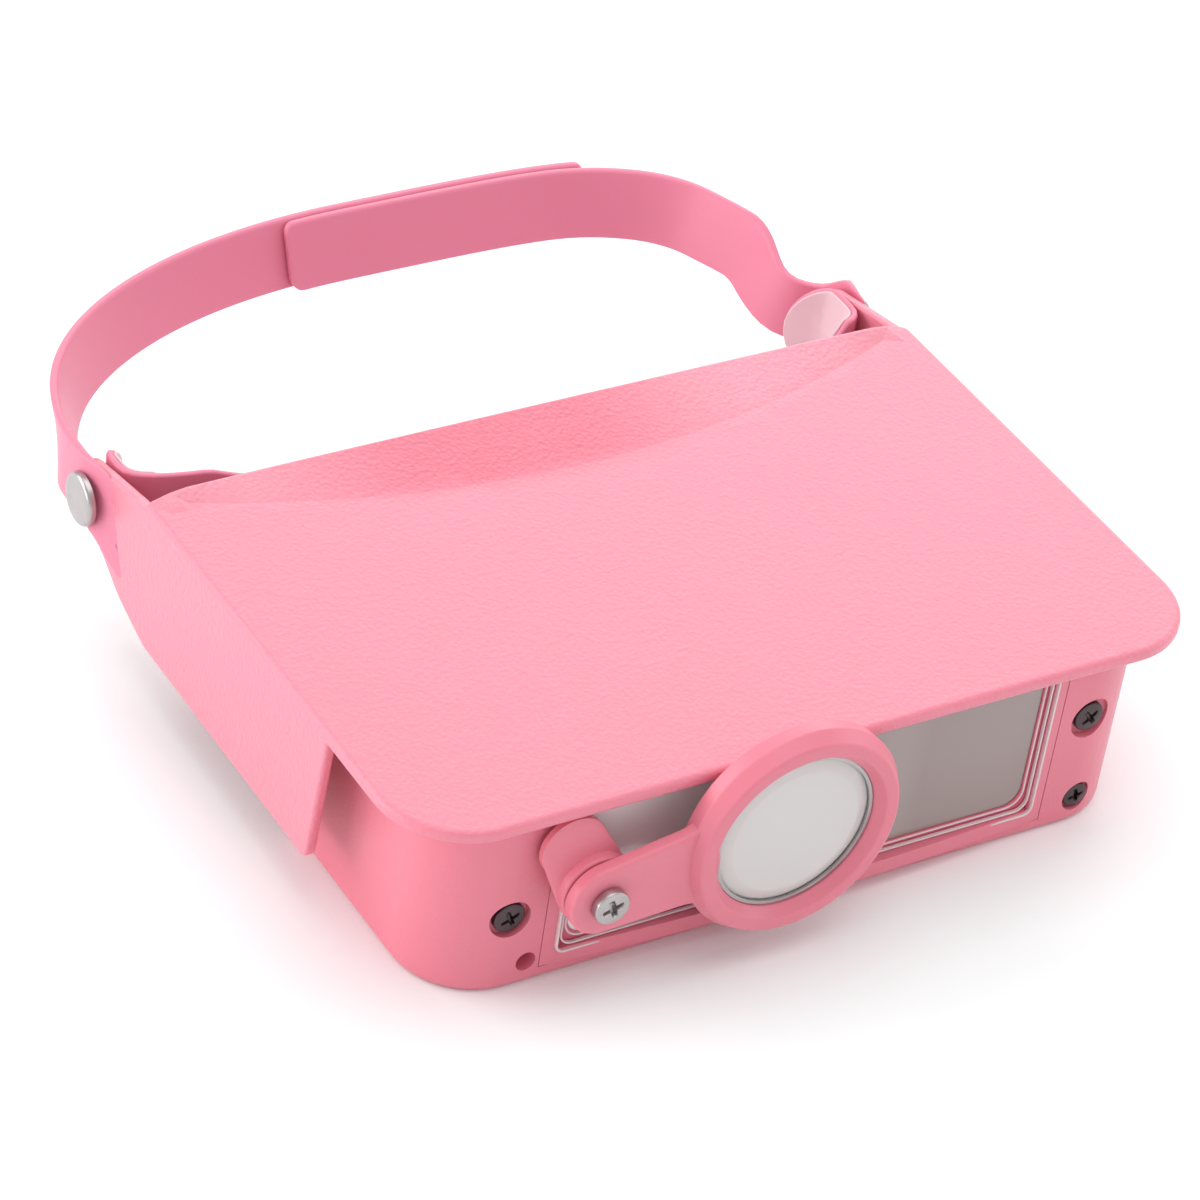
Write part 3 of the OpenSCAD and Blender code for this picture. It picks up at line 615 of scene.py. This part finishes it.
def cross_head(bm, x, z, y, r, height, turn, dome, slot_w, slot_d, shank, length):
    """Pan-head screw facing -Y with a cross recess; y is where the head's top is."""
    n, m = 96, 26
    turn = math.radians(turn)

    def lift(px, pz):
        rr = math.hypot(px, pz) / r
        h = dome * (1 - rr * rr)
        a, b = px * math.cos(turn) + pz * math.sin(turn), -px * math.sin(turn) + pz * math.cos(turn)
        cut = 0.0
        for p, q in ((a, b), (b, a)):
            wide = slot_w * (1 - 0.35 * abs(p) / (r * 0.62))
            across = 1 - smooth((abs(q) - wide * 0.5) / (wide * 0.35) + 0.5)
            along = 1 - smooth((abs(p) - r * 0.56) / (r * 0.12) + 0.5)
            cut = max(cut, across * along * (1 - 0.35 * abs(p) / r))
        return h - cut * slot_d

    rows = [[bm.verts.new(at(x, y + dome - lift(0, 0), z))]]
    turns = np.linspace(0, TAU, n, False)
    for k in range(1, m + 1):
        rr = r * 0.96 * k / m
        flat = [(rr * math.cos(t), rr * math.sin(t)) for t in turns]
        rows.append([bm.verts.new(at(x + a, y + dome - lift(a, b), z + b)) for a, b in flat])
    side = [(r * 0.99, y + dome * 0.95 + 0.12), (r, y + dome + 0.35), (r, y + height), (shank, y + height),
            (shank, y + height + length)]
    for rr, yy in side:
        rows.append([bm.verts.new(at(x + rr * math.cos(t), yy, z + rr * math.sin(t))) for t in turns])
    rows.append([bm.verts.new(at(x, y + height + length, z))])
    skin(bm, zip(rows, rows[1:]), n)


bm = bmesh.new()
for x, z, r, turn in ((-73, 19.6, 3.7, 24), (73, 29.9, 3.7, 38), (74.2, 7.2, 3.1, 12)):
    cross_head(bm, x, z, 4.1, r, 1.9, turn, 0.5, 1.0, 1.3, 1.5, 9.4)
finish_mesh("cheek_screws_shown", bm, "visor", ["cheek_screws"], "dark_steel", 40, False)
bm = bmesh.new()
cross_head(bm, PIVOT[0], PIVOT[1], -9.7, 4.1, 2.1, 18, 0.35, 1.35, 1.9, 1.5, 9.3)
finish_mesh("loupe_screw_shown", bm, "visor", ["loupe_screw"], "steel", 40, False)

# ---------------------------------------------------------------- loupe

px, pz = PIVOT
lx, lz = LOUPE
bm = bmesh.new()
ring = arc_profile([(18.35, 2.2, 0.2), (25.9, 2.2, 0.9), (26.2, 6.2, 1.2), (24.3, 9.7, 1.1),
                    (21.3, 9.7, 0.7), (19.45, 7.4, 0.5), (19.45, 3.0, 0.1), (18.35, 3.0, 0.1)], 5)
lathe(bm, ring, at(lx, 0, lz), (0, -1, 0), 144)
tilt = ARM_TILT


def arm_bend(u, w, d):
    x = px + u * math.cos(tilt) - w * math.sin(tilt)
    return at(x, -7.1 + d, pz + u * math.sin(tilt) + w * math.cos(tilt))


boss = [(8.6 * math.cos(a), 8.6 * math.sin(a), 0) for a in np.radians(np.linspace(100, 260, 25))]
arm_line = rounded(boss + [(22, -9.9, 12), (27.5, -15.5, 0), (27.5, 15.5, 0), (22, 9.9, 12)], 8)
slab(bm, arm_line, 3.2, 0.9, arm_bend, holes=[circle(0, 0, 1.6, 24, True)], step=3.0, edge_back=0.4)
finish_mesh("loupe_frame_shown", bm, "loupe", ["loupe_frame"], "pink_housing", 40)
bm = bmesh.new()
rim, t_mid, t_rim = 19.4, 4.4, 1.2
bulge = (t_mid - t_rim) / 2
ball = (rim * rim + bulge * bulge) / (2 * bulge)
rs = np.linspace(0, rim - 3.6, 26)
front = [(r, 5.3 + t_mid / 2 - 0.35 * (ball - math.sqrt(ball * ball - r * r))) for r in rs]
front += [(rim - 0.25, 5.2 + t_rim / 2 + 0.02), (rim, 5.2 + t_rim / 2 - 0.25)]
back = [(r, 10.4 - h) for r, h in front[::-1]]
lathe(bm, front + back, at(lx, 0, lz), (0, -1, 0), 128)
finish_mesh("loupe_lens_shown", bm, "loupe", ["loupe_lens"], "glass", 20, False)
refined("loupe_retaining_ring", "steel", 0.15, 2)
refined("loupe_washer", "steel", 0.1, 1)
refined("loupe_friction_washer", "nylon", 0.1, 1)

bm = bmesh.new()
n = 64
rows = []
for (cx, cz, r, y) in ((px, pz, 7.9, -3.4), (px, pz, 8.4, -3.1), (px, pz, 8.6, -2.6), (px, pz, 8.6, -0.9),
                       (-62, 38, 7.6, 1.2), (-62, 38, 7.6, 2.6)):
    rows.append([bm.verts.new(at(cx + r * math.cos(t), y, cz + r * math.sin(t)))
                 for t in np.linspace(0, TAU, n, False)])
skin(bm, zip(rows, rows[1:]), n)
bm.faces.new(rows[0])
bm.faces.new(rows[-1][::-1])
finish_mesh("loupe_post_shown", bm, "visor", ["loupe_post"], "pink_housing", 40)

# ---------------------------------------------------------------- straps

LEFT_POWER, RIGHT_POWER = 2.1, 4.1          # roundness of the loop's two halves
PINCH, PINCH_EASE = 7.5, 3.4                # how far the right half draws in, and gives back behind it
RIGHT_DIP = 6.5                             # how far it sinks there


class Path:
    """Plan curve of the loop seen from one ear; u is the length from the hinge, towards the back."""

    def __init__(self, side, inner):
        a, b, straight, flare = LOOP
        pts = [(-EAR_X, v) for v in np.linspace(-24, straight, 18)]
        for s in (-1, 1):
            right = side * s < 0
            power = RIGHT_POWER if right else LEFT_POWER
            arc = []
            for t in np.radians(90 * np.linspace(0, 1, 90) ** 1.25):
                r = ((max(math.cos(t), 0) / a) ** power + (math.sin(t) / b) ** power) ** (-1 / power)
                x, y = r * math.cos(t), r * math.sin(t)
                pinch = PINCH * smooth(y / 8) - PINCH_EASE * smooth((y - 8) / 18) if right else 0.0
                out = (EAR_X - a) * (1 - smooth(y / flare)) - pinch * smooth((x - 55) / 40)
                arc.append((s * (x + out), straight + y))
            pts += arc if s < 0 else arc[-2::-1]
        pts += [(EAR_X, v) for v in np.linspace(straight, 4, 4)]
        p = np.array(pts)
        keep = np.r_[True, np.linalg.norm(np.diff(p, axis=0), axis=1) > 1e-3]
        p = p[keep]
        for _ in range(8):
            p[14:-6] = (p[13:-7] + 2 * p[14:-6] + p[15:-5]) / 4
        d = np.gradient(p, axis=0)
        d /= np.linalg.norm(d, axis=1, keepdims=True)
        self.n = np.stack([d[:, 1], -d[:, 0]], 1)
        self.p, self.side = p, side
        self.u = np.r_[0, np.cumsum(np.linalg.norm(np.diff(p, axis=0), axis=1))]
        self.u -= np.interp(0, p[:17, 1], self.u[:17])
        way = np.array([smooth((y - straight - 2) / (flare + 3)) for y in p[:, 1]])
        self.way = way
        own = np.array([LAYER + SIDE_SINK * smooth((-x - 55) / 25) for x in p[:, 0]])
        late = np.array([smooth((y - straight - 14) / 26) for y in p[:, 1]])
        self.sink = own * np.where(p[:, 0] < 0, late, 1.0) * (1.0 if inner else 0.0)

    def at_x(self, x):
        """Length where the curve passes plan position x, counted on its own side as negative."""
        return float(np.interp(x, self.p[:, 0][15:-5], self.u[15:-5]))

    def bend(self, u, w, d):
        x, y = (np.interp(u, self.u, self.p[:, i]) for i in (0, 1))
        nx, ny = (np.interp(u, self.u, self.n[:, i]) for i in (0, 1))
        way, sink = np.interp(u, self.u, self.way), np.interp(u, self.u, self.sink)
        low, high, _, lean = STRAP
        k = d + sink + lean * way * (1 - (w - low) / high)
        right = self.side * x < 0
        dip = RIGHT_DIP * smooth((y - 2) / 12) * (1 - smooth((y - 15) / 22)) if right else 0.0
        return at(-self.side * (x + nx * k), HINGE[0] + y + ny * k, HINGE[1] + w - dip)


# The ear's slanting front edge: its upper end, slope and the part of a step that goes across it;
# the width over which the outer face runs out, and how deep it ends
EAR_EDGE, EAR_SLOPE, EAR_ACROSS, EAR_THIN, EAR_SUNK = 6.4, 0.409, 0.926, 9.5, 2.56


def strap(name, side, inner, stop, node):
    """One strap from its ear to where its end passes plan position stop."""
    path = Path(side, inner)
    low, high, t, _ = STRAP
    top = low + high
    end = path.at_x(stop)
    line = rounded([(-EAR_EDGE, top, 2.0), (-15.6, -12.2, 1.6), (-13.4, -12.6, 1.4), (-3, low - 0.5, 8),
                    (4, low - 0.5, 10), (12, low, 8), (end, low, 3.6), (end + 0.5, top, 2.6)], 8)

    def bend(u, w, d):
        """The ear's outer face runs out thin and ends just inside the wall, so only a soft crease shows."""
        from_edge = (u + EAR_EDGE + (top - w) * EAR_SLOPE) * EAR_ACROSS
        thin = min(max(1.0 - from_edge / EAR_THIN, 0.0), 1.0)
        return path.bend(u, w, d + (EAR_SUNK + 0.02 * d - d) * thin)

    bm = bmesh.new()
    slab(bm, line, t, 0.7, bend, step=2.2)
    finish_mesh(name, bm, "headband", [node], "pink_strap", 50)


strap("outer_strap", -1, False, 66.0, "left_strap")
strap("inner_strap", 1, True, 17.0, "right_strap")
refined("loop_pad", "fastener", 0.1, 1)
refined("hook_pad", "fastener", 0.1, 1)

# ---------------------------------------------------------------- forehead band and pad

BAND_X, BAND_LOW, BAND_TOP, BAND_END = 97.0, -17.5, 9.6, 10.5
BAND_T, FOAM_T = 1.6, 3.4
BAND_BOW, BAND_FRONT = 13.5, -2             # how far the band bows forward, and from where
BAND_CURL = 7.5                             # how far its curve turns in behind the arc
BAND_LESS_X, BAND_MORE_X = 3, 5             # roundness of the arc's -X and +X halves
ROUND = (BAND_TOP - BAND_LOW) / 2


class Brow:
    """Plan curve of the forehead band; u is the length from its middle."""

    def __init__(self):
        pts = []
        for s in (-1, 1):
            n, arc = (BAND_LESS_X if s < 0 else BAND_MORE_X), []
            for t in np.linspace(0, math.pi / 2, 60):
                r = (max(math.cos(t), 0) ** n + math.sin(t) ** n) ** (-1 / n)
                arc.append((s * BAND_X * r * max(math.cos(t), 0), BAND_FRONT - BAND_BOW * r * math.sin(t)))
            pts += arc if s < 0 else arc[-2::-1]
        curl = [(BAND_X - BAND_CURL * smooth((v - 1) / 12), v) for v in np.arange(1, 20, 1.0)]
        p = np.array([(-x, v) for x, v in curl[::-1]] + pts + curl)
        u = np.r_[0, np.cumsum(np.linalg.norm(np.diff(p, axis=0), axis=1))]
        u -= u[-1] / 2
        fine = np.linspace(u[0], u[-1], 400)
        p = np.stack([np.interp(fine, u, p[:, i]) for i in (0, 1)], 1)
        for _ in range(3):
            p[1:-1] = (p[:-2] + 2 * p[1:-1] + p[2:]) / 4
        d = np.gradient(p, axis=0)
        d /= np.linalg.norm(d, axis=1, keepdims=True)
        self.u, self.p, self.n = fine, p, np.stack([-d[:, 1], d[:, 0]], 1)
        k = len(fine) * 3 // 4
        self.end = float(np.interp(BAND_END, p[k:, 1], fine[k:]))

    def x(self, u):
        return float(np.interp(u, self.u, self.p[:, 0]))

    def foam(self, u):
        """Thickness of the foam: full across the front, nothing at the ends."""
        ahead = np.interp(u, self.u, self.p[:, 1]) < BAND_FRONT
        return FOAM_T * smooth((BAND_X - 5 - abs(self.x(u))) / 22) if ahead else 0.0

    def place(self, u, w, k):
        q, m = ([np.interp(u, self.u, a[:, i]) for i in (0, 1)] for a in (self.p, self.n))
        return at(q[0] + m[0] * k, HINGE[0] + q[1] + m[1] * k, HINGE[1] + w)

    def outline(self, mid, grow, left_fade, right_fade):
        """High at the rounded ends, lower in the middle."""
        stop, r = self.end + grow, ROUND + grow
        low, top = BAND_LOW - grow, BAND_TOP + grow
        us = np.linspace(r - stop, stop - r, 90)
        arcs = np.radians(np.linspace(-90, 90, 20))[1:-1]
        line = [(u, low) for u in us]
        line += [(stop - r + r * math.cos(a), (low + top) / 2 + r * math.sin(a)) for a in arcs]
        for u in us[::-1]:
            x = self.x(u)
            near, wide = left_fade if x < 0 else right_fade
            rest = mid - max(mid - 2.7, 0.0) * smooth(x / 60)
            line.append((u, min(top, rest + (top + 1 - rest) * smooth((abs(x) - near) / wide))))
        line += [(r - stop - r * math.cos(a), (low + top) / 2 + r * math.sin(a)) for a in arcs[::-1]]
        return [Vector(q) for q in line]


brow = Brow()
bm = bmesh.new()
slab(bm, brow.outline(6.5, 0, (66, 18), (85, 8)), BAND_T, 0.65, brow.place, step=3.0)
finish_mesh("band_shown", bm, "headband", ["forehead_band"], "pink_strap", 60)
bm = bmesh.new()
slab(bm, brow.outline(2.5, -0.2, (82, 10), (85, 8)), 0.7, 0.33,
     lambda u, w, d: brow.place(u, w, BAND_T + brow.foam(u) + d), step=3.0)
finish_mesh("pad_cover", bm, "headband", ["forehead_lining"], "lining", 60)
bm = bmesh.new()
slab(bm, brow.outline(2.5, -0.8, (82, 10), (85, 8)), FOAM_T, 1.2,
     lambda u, w, d: brow.place(u, w, BAND_T + brow.foam(u) * d / FOAM_T + 0.02), step=3.0)
pad = finish_mesh("pad_core", bm, "headband", ["forehead_foam"], "foam", 60)

# ---------------------------------------------------------------- rivets

for s, node in ((-1, "left_rivet"), (1, "right_rivet")):
    bm = bmesh.new()
    head = [(0, 96.2), (2.5, 96.2), (2.5, EAR_X), (6.0, EAR_X), (6.3, EAR_X + 0.25)]
    turns = np.radians(np.linspace(0, 80, 8))
    head += [(6.3 - 1.0 * (1 - math.cos(a)), EAR_X + 1.0 + math.sin(a)) for a in turns]
    head += [(r, EAR_X + 2.0) for r in (4.8, 3.0, 1.5, 0.0)]
    lathe(bm, head, at(0, hy, hz), (s, 0, 0), 72)
    finish_mesh(node + "_shown", bm, "headband", [node], "steel", 35, False)
refined("rivet_backs", "steel", 0.2, 2)
refined("outer_washers", "nylon", 0.1, 1)
refined("inner_washers", "nylon", 0.1, 1)

# ---------------------------------------------------------------- stage

n = Nodes("floor")
n.tint(n.noise(3.0), (0.93, 0.97, 0.97), (0.95, 0.99, 0.99))
n.put(Roughness=0.9)
n.bsdf.inputs["Specular IOR Level"].default_value = 0.1
mesh = bpy.data.meshes.new("floor")
big = 4.0
mesh.from_pydata([(-big, -big, 0), (big, -big, 0), (big, big, 0), (-big, big, 0)], [], [(0, 1, 2, 3)])
mesh.materials.append(n.mat)
floor = bpy.data.objects.new("floor", mesh)
bpy.context.collection.objects.link(floor)

bpy.context.scene.view_settings.view_transform = "Standard"
world = bpy.data.worlds.new("studio")
bpy.context.scene.world = world
world.use_nodes = True
world.node_tree.nodes["Background"].inputs["Color"].default_value = (1.0, 0.99, 0.99, 1)
world.node_tree.nodes["Background"].inputs["Strength"].default_value = 0.76


def panel(name, place, aim, size, power):
    light = bpy.data.lights.new(name, "AREA")
    light.shape, light.size, light.size_y = "RECTANGLE", size[0], size[1]
    light.energy = power
    obj = bpy.data.objects.new(name, light)
    bpy.context.collection.objects.link(obj)
    obj.location = place
    obj.rotation_mode = "QUATERNION"
    obj.rotation_quaternion = (Vector(aim) - Vector(place)).to_track_quat("-Z", "Y")


panel("top", (0.1, 0.0, 1.4), (0, 0, 0), (1.3, 1.1), 6.2)
panel("back", (0.9, 1.2, 0.75), (0, 0, 0.03), (1.6, 0.8), 8.2)
panel("left_back", (-1.15, 0.9, 0.8), (0, 0, 0.03), (1.2, 0.8), 9.6)
panel("left_low", (-1.5, 0.3, 0.22), (0, 0, 0.02), (1.2, 0.4), 6.0)
panel("right", (1.5, -0.4, 0.7), (0, 0, 0.02), (1.0, 0.8), 4.0)

camera = bpy.data.cameras.new("camera")
camera.lens, camera.sensor_width = 144, 36
cam = bpy.data.objects.new("camera", camera)
bpy.context.collection.objects.link(cam)
right, down = Vector((0.8556, -0.5021, 0.1258)), Vector((-0.2194, -0.5719, -0.7904))
ahead = right.cross(down)
cam.matrix_world = Matrix.Translation(at(-508.1, -611.2, 669.3)) @ Matrix(
    (right, -down, -ahead)).transposed().to_4x4()
camera.clip_start, camera.clip_end = 0.01, 20
bpy.context.scene.camera = cam
